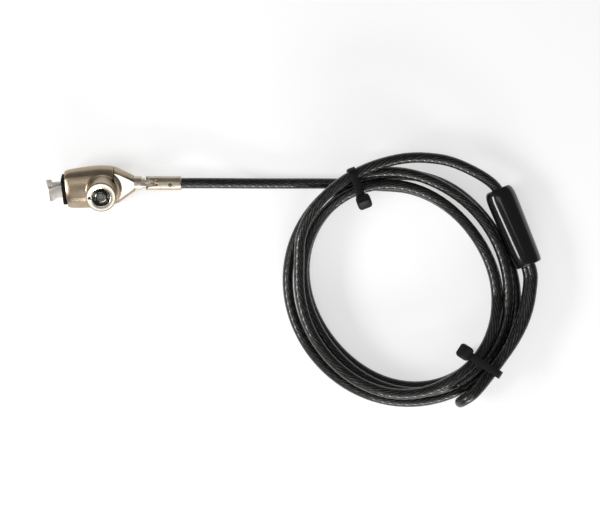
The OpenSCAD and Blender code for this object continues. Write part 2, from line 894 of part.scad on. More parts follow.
module loop_sleeve() {
    color("#0c0c0c")
        on_sleeve()
            difference() {
                tube([for (s = sleeve_sections, k = [0 : sleeve_sides - 1])
                    let (a = 360 * (k + 0.5) / sleeve_sides,
                        w = sleeve_w / 2 - sleeve_taper * s[0] / sleeve_end - s[1])
                    [s[0], (sleeve_h / 2 - s[2]) * cos(a), sleeve_side + w * sin(a)]],
                    sleeve_sides);
                two_strand_bar(crimp_wall, crimp_l);
                strand_bore(1, -sleeve_l, sleeve_l);
                strand_bore(-1, 0, sleeve_l);
            }
}

// A tie: its band runs round the bundle, and its head sits at the inner upper edge
module tie(centre, az, reach, top) {
    w = reach[1] - reach[0];
    color("#131313")
        translate([centre.x, centre.y, 0])
            rotate([0, 0, az]) {
                difference() {
                    tie_bar(reach[0] - tie_t, w + 2 * tie_t, 0, top + 2 * tie_t, tie_w, 3.4);
                    tie_bar(reach[0], w, tie_t, top, tie_w + over, 2.6);
                }
                translate([reach[0] - tie_t - 0.5, 0, top + 2 * tie_t])
                    rotate([0, -45, 0])
                        translate([-tie_head_w / 2, -tie_head_l / 2, -1.8])
                            cube([tie_head_w, tie_head_l, tie_head_w]);
            }
}

// A bar across the band, with its outline in the x-z plane
module tie_bar(x, w, z, h, l, r) {
    translate([x + w / 2, l / 2, z + h / 2])
        rotate([90, 0, 0])
            linear_extrude(l)
                rounded_plate(w, h, r);
}

module upper_tie() {
    tie(upper_tie_c, upper_tie_az, upper_tie_in, upper_tie_h);
}

module lower_tie() {
    tie(lower_tie_c, lower_tie_az, lower_tie_in, lower_tie_h);
}

rubber_pad();
nose_plate();
head_housing();
rear_cover();
cover_dowels();
jaw_front();
jaw_back();
jaw_pivot_pin();
lock_cylinder();
cylinder_pin();
key_plug();
key_post();
key_pins();
pin_sleeve();
driver_pins();
driver_springs();
cam_spindle();
spindle_clip();
swivel_stud();
swivel_washer();
hinge_pin();
cable_ferrule();
crimp_pin();
cable_lead();
cable_coil();
cable_tail();
cable_loop();
loop_ferrule();
loop_sleeve();
upper_tie();
lower_tie();
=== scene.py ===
import bpy
import json
import math
from mathutils import Matrix, Vector


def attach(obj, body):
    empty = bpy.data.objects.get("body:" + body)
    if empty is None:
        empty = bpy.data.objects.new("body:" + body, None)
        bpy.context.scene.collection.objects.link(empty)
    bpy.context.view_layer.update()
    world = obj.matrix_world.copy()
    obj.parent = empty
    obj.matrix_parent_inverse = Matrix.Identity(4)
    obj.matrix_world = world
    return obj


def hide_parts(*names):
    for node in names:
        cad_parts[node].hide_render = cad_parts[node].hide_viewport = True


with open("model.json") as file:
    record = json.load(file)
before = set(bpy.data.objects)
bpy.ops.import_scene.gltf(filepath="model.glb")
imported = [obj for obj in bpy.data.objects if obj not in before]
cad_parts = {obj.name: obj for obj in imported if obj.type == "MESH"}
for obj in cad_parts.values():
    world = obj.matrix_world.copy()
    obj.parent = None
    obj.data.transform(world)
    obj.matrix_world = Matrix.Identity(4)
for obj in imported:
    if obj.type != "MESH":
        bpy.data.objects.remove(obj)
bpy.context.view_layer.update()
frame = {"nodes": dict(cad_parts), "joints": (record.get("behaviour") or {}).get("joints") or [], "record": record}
nodes = frame["nodes"]
mm = 0.001
print("frame loaded,", len(nodes), "nodes")


# small helpers
def deselectAll():
    if bpy.context.object and bpy.context.object.mode == "EDIT":
        bpy.ops.object.mode_set(mode="OBJECT")
    bpy.ops.object.select_all(action="DESELECT")


def makeActive(obj):
    deselectAll()
    obj.select_set(True)
    bpy.context.view_layer.objects.active = obj


def startEdit(obj):
    makeActive(obj)
    bpy.ops.object.mode_set(mode="EDIT")
    bpy.ops.mesh.select_mode(type="FACE")
    bpy.ops.mesh.select_all(action="DESELECT")


def endEdit():
    bpy.ops.object.mode_set(mode="OBJECT")


def applyModifier(obj, kind, **settings):
    makeActive(obj)
    mod = obj.modifiers.new(kind.lower(), kind)
    for key, value in settings.items():
        setattr(mod, key, value)
    bpy.ops.object.modifier_apply(modifier=mod.name)


def cutAway(obj, cutter):
    applyModifier(obj, "BOOLEAN", operation="DIFFERENCE", solver="EXACT", object=cutter)
    bpy.data.objects.remove(cutter)


def joinTo(obj, other):
    applyModifier(obj, "BOOLEAN", operation="UNION", solver="EXACT", object=other)
    bpy.data.objects.remove(other)


def newest(name):
    obj = bpy.context.object
    obj.name = name
    obj.data.name = name
    return obj


def applyPlace():
    bpy.ops.object.transform_apply(location=True, rotation=True, scale=True)


def smoothEdges(obj, angle=40):
    makeActive(obj)
    bpy.ops.object.shade_smooth_by_angle(angle=math.radians(angle))


def jointNamed(name):
    return [j for j in frame["joints"] if j["name"] == name][0]


def headFrame():
    # the head's own frame, in mm: x from the pad to the outlet, z out of the key face
    mounts = {m["name"]: m for m in frame["record"]["mounts"]}
    xAxis = -Vector(mounts["pad_face"]["axis"])
    zAxis = Vector(jointNamed("plug_turn")["axis"])
    yAxis = zAxis.cross(xAxis)
    turn = Matrix((xAxis, yAxis, zAxis)).transposed().to_4x4()
    return Matrix.Translation(Vector(mounts["pad_face"]["pos_m"])) @ turn @ Matrix.Scale(mm, 4)


def outletFrame():
    # the cable outlet's frame, in mm: z along the swivel's axis
    outletAt = Vector(jointNamed("head_swivel")["pos_m"])
    turn = Matrix.Rotation(math.pi / 2, 4, "Y")
    return Matrix.Translation(outletAt) @ turn @ Matrix.Scale(mm, 4)


headPlace = headFrame()
outletPlace = outletFrame()


def placeIn(obj, place):
    # the object goes back to the origin and its mesh moves to the place
    deselectAll()
    obj.data.transform(obj.matrix_world)
    obj.matrix_world = Matrix.Identity(4)
    obj.data.transform(place)
    obj.data.update()
    return obj


# the camera looks straight down
camera = {"place": (82.1, -33.3, 900.0), "lens": 121.5, "sensor": 36.0}


def makeCamera():
    bpy.ops.object.camera_add(location=[v * mm for v in camera["place"]])
    cam = bpy.context.object
    cam.rotation_euler = (0, 0, 0)
    cam.data.lens = camera["lens"]
    cam.data.sensor_fit = "HORIZONTAL"
    cam.data.sensor_width = camera["sensor"]
    cam.data.clip_start = 0.05
    cam.data.clip_end = 10
    bpy.context.scene.camera = cam


makeCamera()
print("camera set")

# the cable, in mm and degrees; a pair such as climb is a change's start and span, in turns
cable = {
    "diameter": 4.7, "centre": (127.3, -42.8), "low": 3.3, "turns": 3.25, "radius": 42.8, "grow": 1,
    "outer": 50.9, "goOut": (0.86, 0.24), "comeIn": (1.9, 0.18), "topFrom": 1.5, "top": 48.3,
    "step": 5.15, "layer": 5.2, "climb": (1.83, 0.16), "oval": 3.5, "outerOval": 1.4, "ovalAt": 128,
    "rounder": (1.2, 0.3), "flatter": (1.9, 0.9), "hump": 5.2, "humpAt": 112, "humpSpan": 60,
    "humpFrom": 0.5, "coilParts": 400, "coilEnd": 0.5 / 24, "outletY": 2.6, "outletZ": 6.5,
    "sleeveMiddle": (175.5, -17.0), "sleeveTurn": -67.4, "sleeveZ": 8.9, "sleeveEnd": 18.2,
    "strandY": 2.45, "strandLean": 16, "tipRadius": 6.4, "tipTurn": -58,
    "tipMiddle": (30.2, -47.6), "tipZ": 6.3, "tipOut": 0.4, "tipDrift": 0.13,
    "lay": 42.0, "ridges": 12, "sidesPerRidge": 6, "ridgeDepth": 0.04,
    "sampleStep": 0.8, "relaxRounds": 10, "ringStep": 1.6, "smoothBelow": 60,
}


def ease(t, start, over):
    x = min(max((t - start) / over, 0), 1)
    return x * x * (3 - 2 * x)


def coilPoint(t):
    # turn one lies inside and turn two outside it; the rest lies on top, from out to in
    c = cable
    azimuth = 90 - 360 * t
    outside = ease(t, *c["goOut"]) - ease(t, *c["comeIn"])
    line = c["radius"] + c["grow"] * t if t < c["topFrom"] else c["top"] - c["step"] * (t - 2)
    rounder = ease(t, *c["rounder"]) - ease(t, *c["flatter"])
    oval = c["oval"] + rounder * (c["outerOval"] - c["oval"])
    swell = oval * math.cos(math.radians(2 * (azimuth - c["ovalAt"])))
    radius = line + outside * (c["outer"] - line) + swell
    height = c["low"] + c["layer"] * ease(t, *c["climb"])
    off = abs(azimuth % 360 - c["humpAt"]) / c["humpSpan"]
    if t > c["humpFrom"] and off < 1:
        height += c["hump"] * (1 + math.cos(math.pi * off)) / 2
    x, y = c["centre"]
    a = math.radians(azimuth)
    return Vector((x + radius * math.cos(a), y + radius * math.sin(a), height))


def aboutCoil(route):
    # (azimuth, radius, height) round the coil's centre
    x, y = cable["centre"]
    return [Vector((x + r * math.cos(math.radians(a)), y + r * math.sin(math.radians(a)), z))
            for a, r, z in route]


def aboutSleeve(route):
    # (along, across, height) from the sleeve's middle
    x, y = cable["sleeveMiddle"]
    a = math.radians(cable["sleeveTurn"])
    cos, sin = math.cos(a), math.sin(a)
    return [Vector((x + u * cos - v * sin, y + u * sin + v * cos, z)) for u, v, z in route]


def cableRoute():
    y, z = cable["outletY"], cable["outletZ"]
    end = cable["sleeveEnd"]
    lean = math.radians(cable["strandLean"])
    side = cable["strandY"] * math.sin(lean)
    upper = cable["sleeveZ"] + cable["strandY"] * math.cos(lean)
    lower = cable["sleeveZ"] - cable["strandY"] * math.cos(lean)
    lead = [Vector(p) for p in [
        (21.8, y, z), (29.9, y, z), (35, y, 6.5), (44, y, 6), (54, y, 4.4), (64, y, 3),
        (74, y, 2.4), (86, 2.6, 2.4), (98, 2.5, 2.8), (107, 2, 3.3), (115, 1.6, 3.3)]]
    lead.append(coilPoint(-cable["coilEnd"]))
    parts = cable["coilParts"]
    coil = [coilPoint(cable["turns"] * i / parts) for i in range(parts + 1)]
    tail = [coilPoint(cable["turns"] + cable["coilEnd"])] + aboutCoil([
        (-20, 43, 11.3), (-34, 44.4, 13), (-48, 45.4, 13.9), (-64, 46.2, 14.2), (-80, 47.2, 14.2),
        (-96, 47.2, 14), (-112, 46.4, 13.8), (-128, 45.5, 13.7), (-144, 45, 13.7), (-160, 45, 13.7),
        (-176, 45.4, 13.8), (-192, 46.6, 14.6), (-206, 49.8, 16.2), (-218, 51.4, 17.6),
        (-230, 52.2, 18.4), (-242, 53, 18.5), (-254, 53.9, 18.3), (-262, 54.7, 17.7),
        (-270, 55.8, 16.8), (-278, 56.8, 15.6), (-290, 58.3, 13.9), (-302, 59.1, 12.4)])
    tail += aboutSleeve([(-end - 4.2, -1.5, 11.6), (-end, 0.3, 11.3), (-13.5, side, upper),
                         (-8, side, upper), (0, side, upper)])
    loop = aboutSleeve([(end, side, upper), (end + 3.4, 0.4, 11.5)]) + aboutCoil([
        (0, 56.5, 12.2), (-10, 55.7, 12.9), (-20, 54.7, 13.3), (-30, 53.8, 13.5), (-38, 53.5, 13.8),
        (-46, 54.1, 15.5)])
    tip = math.radians(cable["tipTurn"])
    x, y = [a + b for a, b in zip(cable["centre"], cable["tipMiddle"])]
    for i in range(6, -1, -1):
        a, out = math.radians(i * 30), cable["tipOut"] - i * cable["tipDrift"]
        reach = cable["tipRadius"] * math.sin(a)
        loop.append(Vector((x + math.sin(tip) * reach + math.cos(tip) * out,
                            y - math.cos(tip) * reach + math.sin(tip) * out,
                            cable["tipZ"] + cable["tipRadius"] * (1 - math.cos(a)))))
    loop += aboutCoil([(-50, 55.1, 7.8), (-42, 54.4, 8.3), (-30, 54.1, 8.3), (-20, 54.1, 8.2),
                       (-10, 54.5, 7.8), (0, 55.4, 7.1)])
    loop += aboutSleeve([(end + 3.6, -1.1, 6.6), (end, -side, lower), (8, -side, lower),
                         (-4, -side, lower)])
    return smoothLine(lead) + coil + smoothLine(tail + loop)


def mixed(first, second, low, high, u):
    return first * ((high - u) / (high - low)) + second * ((u - low) / (high - low))


def smoothLine(points, parts=10):
    # a curve that passes through every point, with even speed between them
    line = []
    ends = [points[0] * 2 - points[1]] + points + [points[-1] * 2 - points[-2]]
    for i in range(1, len(ends) - 2):
        p = ends[i - 1:i + 3]
        t = [0.0]
        for a, b in zip(p, p[1:]):
            t.append(t[-1] + math.sqrt((b - a).length))
        for k in range(parts):
            u = t[1] + (t[2] - t[1]) * k / parts
            a = [mixed(p[j], p[j + 1], t[j], t[j + 1], u) for j in range(3)]
            b = [mixed(a[j], a[j + 1], t[j], t[j + 2], u) for j in range(2)]
            line.append(mixed(b[0], b[1], t[1], t[2], u))
    return line + [points[-1]]


def evenly(line, step):
    out, left = [line[0]], step
    for a, b in zip(line, line[1:]):
        length = (b - a).length
        at = left
        while at <= length and length > 0:
            out.append(a.lerp(b, at / length))
            at += step
        left = at - length
    out.append(line[-1])
    return out


def relaxed(line, rounds):
    for _ in range(rounds):
        inner = [(a + b * 2 + c) / 4 for a, b, c in zip(line, line[1:], line[2:])]
        line = [line[0]] + inner + [line[-1]]
    return line


def makeCable():
    line = relaxed(evenly(cableRoute(), cable["sampleStep"]), cable["relaxRounds"])
    line = evenly(line, cable["ringStep"])
    sides = cable["ridges"] * cable["sidesPerRidge"]
    verts, faces, path = [], [], []
    tangent = (line[1] - line[0]).normalized()
    across = Vector((0, 0, 1)).cross(tangent).normalized()
    along = 0.0
    for i, point in enumerate(line):
        a, b = line[max(i - 1, 0)], line[min(i + 1, len(line) - 1)]
        tangent = (b - a).normalized()
        across = (across - tangent * across.dot(tangent)).normalized()
        other = tangent.cross(across)
        if i:
            along += (point - line[i - 1]).length
        twist = -2 * math.pi * along / cable["lay"]
        for k in range(sides):
            angle = 2 * math.pi * k / sides + twist
            ridge = math.cos(2 * math.pi * k * cable["ridges"] / sides)
            radius = cable["diameter"] / 2 - cable["ridgeDepth"] * (1 - ridge) / 2
            verts.append((point + across * (radius * math.cos(angle))
                          + other * (radius * math.sin(angle))) * mm)
        path.append(tuple(point * mm))
    last = (len(line) - 1) * sides
    for i in range(0, last, sides):
        for k in range(sides):
            a, b = i + k, i + (k + 1) % sides
            faces.append((a, b, b + sides, a + sides))
    faces.append(tuple(reversed(range(sides))))
    faces.append(tuple(range(last, last + sides)))
    mesh = bpy.data.meshes.new("steel_cable")
    mesh.from_pydata(verts, [], faces)
    # u goes once round the cable, v along it in centimetres
    layer = mesh.uv_layers.new(name="UVMap")
    for face in mesh.polygons:
        for loop in face.loop_indices:
            vert = mesh.loops[loop].vertex_index
            ring, k = divmod(vert, sides)
            u = k / sides
            if face.index < last and k == 0 and face.index % sides == sides - 1:
                u = 1.0
            layer.data[loop].uv = (u, ring * cable["ringStep"] / 10)
    mesh.update()
    obj = bpy.data.objects.new("steel_cable", mesh)
    bpy.context.collection.objects.link(obj)
    smoothEdges(obj, cable["smoothBelow"])
    length = sum((Vector(b) - Vector(a)).length for a, b in zip(path, path[1:]))
    return obj, path, length


steelCable, cablePath, cableLength = makeCable()
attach(steelCable, "cable")
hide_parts("cable_lead", "cable_coil", "cable_tail", "cable_loop")
print("cable made,", round(cableLength, 3), "m,", len(steelCable.data.polygons), "faces")


# materials
def newMaterial(name, color, roughness, metallic=0.0, **sockets):
    mat = bpy.data.materials.new(name)
    mat.use_nodes = True
    shader = mat.node_tree.nodes["Principled BSDF"]
    shader.inputs["Base Color"].default_value = (*color, 1)
    shader.inputs["Roughness"].default_value = roughness
    shader.inputs["Metallic"].default_value = metallic
    for key, value in sockets.items():
        shader.inputs[key.replace("_", " ")].default_value = value
    return mat, mat.node_tree, shader


def addNode(tree, kind, **settings):
    node = tree.nodes.new(kind)
    for key, value in settings.items():
        if key in node.inputs:
            node.inputs[key].default_value = value
        else:
            setattr(node, key, value)
    return node


def noiseOn(tree, scale, detail=3.0, stretch=(1, 1, 1)):
    place = tree.nodes.new("ShaderNodeTexCoord")
    mapping = tree.nodes.new("ShaderNodeMapping")
    mapping.inputs["Scale"].default_value = stretch
    noise = addNode(tree, "ShaderNodeTexNoise", Scale=scale, Detail=detail)
    tree.links.new(place.outputs["Object"], mapping.inputs["Vector"])
    tree.links.new(mapping.outputs["Vector"], noise.inputs["Vector"])
    return noise


def spread(tree, source, low, high):
    ramp = tree.nodes.new("ShaderNodeMapRange")
    ramp.inputs["To Min"].default_value = low
    ramp.inputs["To Max"].default_value = high
    tree.links.new(source, ramp.inputs["Value"])
    return ramp.outputs["Result"]


def blendColors(tree, source, first, second, low=0.3, high=0.7):
    ramp = tree.nodes.new("ShaderNodeValToRGB")
    ramp.color_ramp.elements[0].color = (*first, 1)
    ramp.color_ramp.elements[1].color = (*second, 1)
    ramp.color_ramp.elements[0].position = low
    ramp.color_ramp.elements[1].position = high
    tree.links.new(source, ramp.inputs["Fac"])
    return ramp.outputs["Color"]


def addBump(tree, shader, source, strength, distance):
    bump = addNode(tree, "ShaderNodeBump", Strength=strength, Distance=distance)
    tree.links.new(source, bump.inputs["Height"])
    tree.links.new(bump.outputs["Normal"], shader.inputs["Normal"])


def satinMetal(name, first, second, rough, grain=(1, 1, 1), bump=0.05, uneven=0.06):
    # a slow drift of colour, and a fine grain in the roughness and the surface
    mat, tree, shader = newMaterial(name, first, rough, metallic=1.0)
    cloud = noiseOn(tree, 260, 2).outputs["Fac"]
    tree.links.new(blendColors(tree, cloud, first, second), shader.inputs["Base Color"])
    fine = noiseOn(tree, 5200, 3, grain).outputs["Fac"]
    roughness = spread(tree, fine, rough - uneven, rough + uneven)
    tree.links.new(roughness, shader.inputs["Roughness"])
    addBump(tree, shader, fine, bump, 0.00004)
    return mat


def moulded(name, color, rough, scale=3000, bump=0.15, **sockets):
    mat, tree, shader = newMaterial(name, color, rough, **sockets)
    grain = noiseOn(tree, scale, 4).outputs["Fac"]
    pale = tuple(c * 1.6 + 0.002 for c in color)
    tree.links.new(blendColors(tree, grain, color, pale), shader.inputs["Base Color"])
    tree.links.new(spread(tree, grain, rough - 0.05, rough + 0.08), shader.inputs["Roughness"])
    addBump(tree, shader, grain, bump, 0.00003)
    return mat


jacket = {
    "base": (0.006, 0.006, 0.006), "between": (0.003, 0.0026, 0.0025),
    "strand": (0.1, 0.092, 0.085), "roughness": (0.3, 0.5), "lineSharpness": 9,
    "breaks": (-0.9, 2.1), "fineStrands": 3, "fineShare": 0.2, "bump": 0.35, "bumpDepth": 0.0001,
}


def strandWaves(tree):
    # waves that go round the cable with its lay: one crest per strand, then its finer wires
    uv = tree.nodes.new("ShaderNodeUVMap")
    uv.uv_map = "UVMap"
    waves = []
    for count in (cable["ridges"], cable["ridges"] * jacket["fineStrands"]):
        mapping = tree.nodes.new("ShaderNodeMapping")
        mapping.inputs["Scale"].default_value = (count, 0, 0)
        # a wave texture of this scale has one crest per unit
        wave = addNode(tree, "ShaderNodeTexWave", wave_type="BANDS", bands_direction="X",
                       wave_profile="SIN", Scale=math.pi / 10, Distortion=0.0)
        tree.links.new(uv.outputs["UV"], mapping.inputs["Vector"])
        tree.links.new(mapping.outputs["Vector"], wave.inputs["Vector"])
        waves.append(wave.outputs["Fac"])
    return waves


def cableJacket():
    # black strands laid up under a clear coat: the colour follows the lay, the coat stays smooth
    mat, tree, shader = newMaterial("cable_jacket", jacket["base"], 0.4, Specular_IOR_Level=0.25,
                                    Coat_Weight=0.5, Coat_Roughness=0.06)
    strands, wires = strandWaves(tree)
    line = addNode(tree, "ShaderNodeMath", operation="POWER")
    line.inputs[1].default_value = jacket["lineSharpness"]
    tree.links.new(strands, line.inputs[0])
    broken = spread(tree, noiseOn(tree, 520, 3).outputs["Fac"], *jacket["breaks"])
    lit = addNode(tree, "ShaderNodeMath", operation="MULTIPLY", use_clamp=True)
    tree.links.new(line.outputs[0], lit.inputs[0])
    tree.links.new(broken, lit.inputs[1])
    color = blendColors(tree, lit.outputs[0], jacket["between"], jacket["strand"], 0.0, 1.0)
    tree.links.new(color, shader.inputs["Base Color"])
    both = addNode(tree, "ShaderNodeMath", operation="MULTIPLY_ADD")
    both.inputs[1].default_value = jacket["fineShare"]
    tree.links.new(wires, both.inputs[0])
    tree.links.new(strands, both.inputs[2])
    blotch = noiseOn(tree, 420, 3).outputs["Fac"]
    tree.links.new(spread(tree, blotch, *jacket["roughness"]), shader.inputs["Roughness"])
    addBump(tree, shader, both.outputs[0], jacket["bump"], jacket["bumpDepth"])
    return mat


materials = {
    "shell": satinMetal("shell_nickel", (0.36, 0.285, 0.2), (0.44, 0.355, 0.255), 0.3, uneven=0.03),
    # a paler copy of the shell's metal, painted highlight for the scoop flat
    "polished": satinMetal("scoop_painted_highlight", (0.86, 0.82, 0.74), (0.92, 0.88, 0.8), 0.16, bump=0.02),
    "ring": satinMetal("key_ring", (0.88, 0.82, 0.7), (0.93, 0.88, 0.78), 0.22, bump=0.03),
    "jaw": satinMetal("jaw_steel", (0.5, 0.465, 0.43), (0.58, 0.54, 0.5), 0.33,
                      grain=(0.1, 1, 1), bump=0.12),
    "stud": satinMetal("stud_nickel", (0.52, 0.44, 0.34), (0.62, 0.53, 0.42), 0.34,
                       bump=0.01, uneven=0.01),
    "collar": satinMetal("collar_nickel", (0.62, 0.54, 0.45), (0.7, 0.61, 0.51), 0.4,
                         bump=0.02, uneven=0.02),
    "steel": satinMetal("inner_steel", (0.55, 0.55, 0.55), (0.62, 0.62, 0.62), 0.35),
    "brass": satinMetal("pin_bronze", (0.09, 0.07, 0.045), (0.14, 0.11, 0.07), 0.3),
    "dark": satinMetal("plug_dark", (0.09, 0.09, 0.085), (0.14, 0.14, 0.13), 0.18, bump=0.03),
    "rubber": moulded("pad_rubber", (0.002, 0.002, 0.002), 0.7, Specular_IOR_Level=0.12),
    "sleeve": moulded("sleeve_rubber", (0.002, 0.002, 0.002), 0.35, 1500, 0.03,
                      Specular_IOR_Level=0.1, Coat_Weight=0.85, Coat_Roughness=0.07),
    "nylon": moulded("tie_nylon", (0.003, 0.003, 0.003), 0.45, Specular_IOR_Level=0.25),
    "washer": moulded("washer_nylon", (0.75, 0.72, 0.64), 0.5),
    "jacket": cableJacket(),
}


def giveMaterial(obj, name):
    obj.data.materials.clear()
    obj.data.materials.append(materials[name])


giveMaterial(steelCable, "jacket")
nodesOfFinish = {
    "steel": ("nose_plate", "cover_dowels", "jaw_pivot_pin", "cylinder_pin", "driver_pins",
              "driver_springs", "cam_spindle", "spindle_clip", "loop_ferrule"),
    "brass": ("key_pins", "pin_sleeve"),
    "washer": ("swivel_washer",),
}
for finish, names in nodesOfFinish.items():
    for node in names:
        giveMaterial(nodes[node], finish)
print("materials made")


# pieces that keep the shape of their node
def roundHead(obj, width):
    # the tie head's four tilted corner edges are moulded round
    startEdit(obj)
    bpy.ops.mesh.select_mode(type="EDGE")
    bpy.ops.object.mode_set(mode="OBJECT")
    for edge in obj.data.edges:
        run = obj.data.vertices[edge.vertices[1]].co - obj.data.vertices[edge.vertices[0]].co
        isLong, isTilted = run.length > 3.6 * mm, 0.6 < abs(run.normalized().z) < 0.8
        edge.select = isLong and isTilted
    bpy.ops.object.mode_set(mode="EDIT")
    bpy.ops.mesh.bevel(offset=width * mm, segments=4, affect="EDGES")
    bpy.ops.mesh.select_mode(type="FACE")
    endEdit()


def softened(node, name, body, finish, width, corners=0.0):
    # the node's own shape with its edges broken, as tumbling or moulding leaves them
    deselectAll()
    obj = nodes[node].copy()
    obj.data = nodes[node].data.copy()
    obj.name = name
    obj.data.name = name
    bpy.context.collection.objects.link(obj)
    startEdit(obj)
    bpy.ops.mesh.select_all(action="SELECT")
    bpy.ops.mesh.remove_doubles(threshold=0.000002)
    bpy.ops.mesh.dissolve_limited(angle_limit=math.radians(1))
    endEdit()
    if corners:
        roundHead(obj, corners)
    applyModifier(obj, "BEVEL", width=width * mm, segments=3, limit_method="ANGLE",
                  angle_limit=math.radians(28), harden_normals=False, use_clamp_overlap=True)
    smoothEdges(obj)
    giveMaterial(obj, finish)
    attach(obj, body)
    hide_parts(node)
    return obj


softened("jaw_front", "front_blade", "front_jaw", "jaw", 0.14)
softened("jaw_back", "back_blade", "back_jaw", "jaw", 0.14)
softened("rubber_pad", "nose_pad", "head", "rubber", 0.3)
softened("swivel_stud", "swivel_collar", "stud", "collar", 0.12)
softened("cable_ferrule", "cable_socket", "cable", "stud", 0.12)
softened("hinge_pin", "hinge_rivet", "cable", "stud", 0.15)
softened("crimp_pin", "crimp_rivet", "cable", "dark", 0.15)
upperTie = softened("upper_tie", "upper_cable_tie", "cable", "nylon", 0.3, corners=1.3)
lowerTie = softened("lower_tie", "lower_cable_tie", "cable", "nylon", 0.3, corners=1.3)
print("blades, pad, swivel, socket and ties made")

# the head shells, in mm and degrees
shell = {
    "noseAt": 1.6, "seam": 23.4, "seamGap": 0.06, "roll": 20, "axisHeight": 6.5, "length": 31.7,
    "lockX": 17.8, "barrelRadius": 6.6, "barrelTop": 15.3, "barrelFloor": -3.0, "barrelGap": 0.08,
    "filletReach": 3.5, "filletFloor": 1, "filletTop": 10.5, "filletFade": 2.5,
    "cylinderRadius": 5.25, "journalRadius": 1.14, "journalFloor": -4.0, "journalTop": 0.5,
    "roomZ": 1.5, "roomY": 4.06, "roomEnd": 22.15, "plateEnd": 3.0,
    "plateW": 10.8, "plateH": 8.6, "collarRadius": 7.75, "collarTop": 7.6,
    "squareness": 0.16, "scoopFrom": 8.5, "scoopTop": 4.1, "scoopSlope": 9,
    "stations": [(1.6, 8.1, 5.7), (3.2, 8.65, 6.2), (11.4, 9.3, 6.9), (17.4, 9.3, 6.9),
                 (23.4, 8.3, 6.4), (27.6, 5.9, 5.0), (31.7, 3.45, 3.45)],
}


def widthsAt(x):
    # smooth widths between the shell's stations
    s = shell["stations"]
    i = max(k for k in range(len(s) - 1) if s[k][0] <= x + 1e-6)
    slopes = []
    for k in range(len(s)):
        a, b = s[max(k - 1, 0)], s[min(k + 1, len(s) - 1)]
        slopes.append([(b[n] - a[n]) / (b[0] - a[0]) for n in (1, 2)])
    a, b = s[i], s[i + 1]
    h = b[0] - a[0]
    t = (x - a[0]) / h
    out = []
    for n in (1, 2):
        out.append(a[n] * (2 * t**3 - 3 * t * t + 1) + slopes[i][n - 1] * h * (t**3 - 2 * t * t + t)
                   + b[n] * (3 * t * t - 2 * t**3) + slopes[i + 1][n - 1] * h * (t**3 - t * t))
    return out


def loftedBody(name, fromX, toX, steps):
    bpy.ops.mesh.primitive_circle_add(vertices=96, radius=1, fill_type="NGON",
                                      rotation=(math.pi / 2, 0, math.pi / 2))
    obj = newest(name)
    applyPlace()
    applyModifier(obj, "CAST", cast_type="CUBOID", size=1, factor=shell["squareness"])
    startEdit(obj)
    bpy.ops.mesh.select_all(action="SELECT")
    bpy.ops.transform.translate(value=(fromX, 0, 0))
    lastW, lastH = 1, 1
    stepX = (toX - fromX) / steps
    for i in range(steps + 1):
        x = fromX + (toX - fromX) * i / steps
        w, h = widthsAt(x)
        if i:
            bpy.ops.mesh.extrude_region_move(TRANSFORM_OT_translate={"value": (stepX, 0, 0)})
        bpy.ops.transform.resize(value=(1, w / lastW, h / lastH), center_override=(x, 0, 0))
        lastW, lastH = w, h
    bpy.ops.mesh.select_all(action="SELECT")
    bpy.ops.mesh.normals_make_consistent(inside=False)
    for side in (-1, 1):
        # the keel flats that the head rests on
        a = math.radians(side * shell["roll"])
        normal = Vector((0, math.sin(a), -math.cos(a)))
        bpy.ops.mesh.select_all(action="SELECT")
        bpy.ops.mesh.bisect(plane_co=normal * shell["axisHeight"], plane_no=normal,
                            use_fill=True, clear_outer=True)
    endEdit()
    return obj


def barrelRod(name, radius, low, high, x=shell["lockX"], y=0, vertices=128):
    bpy.ops.mesh.primitive_cylinder_add(vertices=vertices, radius=radius, depth=high - low,
                                        location=(x, y, (low + high) / 2))
    obj = newest(name)
    applyPlace()
    return obj


def boxAt(name, low, high):
    bpy.ops.mesh.primitive_cube_add(size=1, location=[(a + b) / 2 for a, b in zip(low, high)])
    obj = newest(name)
    obj.scale = [b - a for a, b in zip(low, high)]
    applyPlace()
    return obj


def nearRoot(co):
    # how far a point belongs to the soft fillet where the barrel rises out of the body
    r = shell
    reach = math.hypot(co.x - r["lockX"], co.y) - r["barrelRadius"]
    if co.z < r["filletFloor"] or co.z > r["filletTop"] or reach > r["filletReach"]:
        return 0
    outward = max(0, 1 - max(reach, 0) / r["filletReach"])
    return outward * min(1, (r["filletTop"] - co.z) / r["filletFade"])


def softenRoot(obj):
    group = obj.vertex_groups.new(name="blend")
    for vert in obj.data.vertices:
        weight = nearRoot(vert.co)
        if weight > 0:
            group.add([vert.index], weight, "REPLACE")
    applyModifier(obj, "SMOOTH", factor=0.5, iterations=3)
    applyModifier(obj, "SMOOTH", factor=0.5, iterations=60, vertex_group="blend")
    obj.vertex_groups.clear()


def frontShell():
    r = shell
    obj = loftedBody("front_shell", r["noseAt"], r["seam"] - r["seamGap"], 24)
    joinTo(obj, barrelRod("barrel", r["barrelRadius"], r["barrelFloor"], r["barrelTop"]))
    applyModifier(obj, "REMESH", mode="VOXEL", voxel_size=0.2, use_smooth_shade=True)
    softenRoot(obj)
    cutAway(obj, boxAt("plateRoom", (-1, -r["plateW"] / 2, -r["plateH"] / 2),
                       (r["plateEnd"], r["plateW"] / 2, r["plateH"] / 2)))
    cutAway(obj, boxAt("jawRoom", (1, -r["roomY"], -r["roomZ"]),
                       (r["roomEnd"], r["roomY"], r["roomZ"])))
    cutAway(obj, barrelRod("lockRoom", r["cylinderRadius"], 0, 20))
    cutAway(obj, barrelRod("journalRoom", r["journalRadius"], r["journalFloor"], r["journalTop"],
                           vertices=48))
    return obj


